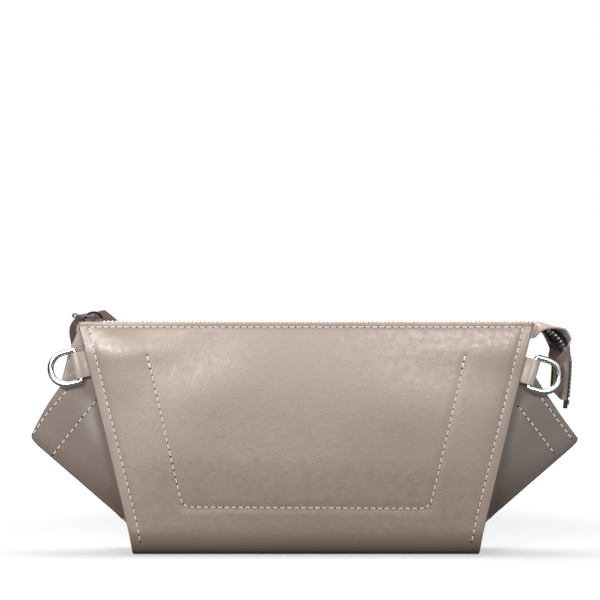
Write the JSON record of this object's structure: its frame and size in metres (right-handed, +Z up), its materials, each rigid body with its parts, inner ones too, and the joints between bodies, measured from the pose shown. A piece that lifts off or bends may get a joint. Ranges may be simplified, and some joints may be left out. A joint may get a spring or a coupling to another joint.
{
  "type": "trapeze bag",
  "caption": "Leather trapeze clutch with a zip across the top, gussets that spread as wings at both sides, and a strap D-ring on a leather tab at each end.",
  "frame": {"origin": "on the ground under the middle of the bag's base", "axes": "+Z up, +X along the zip from the slider's closed end, +Y to the back; the front panel faces -Y"},
  "size_m": [0.3362, 0.046, 0.1475],
  "materials": {
    "leather": "matte",
    "leather_lining": "matte",
    "zip_tape": "matte",
    "zip_metal": "polished",
    "ring_metal": "polished"
  },
  "bodies": {
    "bag": {"body_panel": "leather", "inner_pocket": "leather_lining", "gusset_left": "leather", "gusset_right": "leather", "gusset_facing_left": "leather", "gusset_facing_right": "leather", "zip_strip_front": "leather", "zip_strip_back": "leather", "zip_tape_front": "zip_tape", "zip_tape_back": "zip_tape", "zip_teeth_front": "zip_metal", "zip_teeth_back": "zip_metal", "zip_top_stop_front": "zip_metal", "zip_top_stop_back": "zip_metal", "zip_bottom_stop": "zip_metal", "dring_tab_left": "leather", "dring_tab_right": "leather"},
    "slider": {"zip_slider_body": "zip_metal", "zip_slider_crown": "zip_metal"},
    "pull": {"zip_pull": "zip_metal"},
    "ring_left": {"dring_left": "ring_metal"},
    "ring_right": {"dring_right": "ring_metal"}
  },
  "joints": [
    {"name": "zip_slide", "type": "slide", "parent": "bag", "child": "slider", "axis": [1, 0, 0], "range_m": [0, 0.257], "deforming": ["zip_teeth_front", "zip_teeth_back", "zip_tape_front", "zip_tape_back"]},
    {"name": "pull_flip", "type": "hinge", "parent": "slider", "child": "pull", "pos_m": [-0.1295, 0, 0.1441], "axis": [0, 1, 0], "range_deg": [0, 176]},
    {"name": "ring_left_swing", "type": "hinge", "parent": "bag", "child": "ring_left", "pos_m": [-0.13795, -0.01017, 0.1139], "axis": [-0.2419, 0.1047, 0.9646], "range_deg": [0, 130]},
    {"name": "ring_right_swing", "type": "hinge", "parent": "bag", "child": "ring_right", "pos_m": [0.13691, -0.01062, 0.1098], "axis": [-0.2924, -0.1032, -0.9507], "range_deg": [0, 130]}
  ]
}
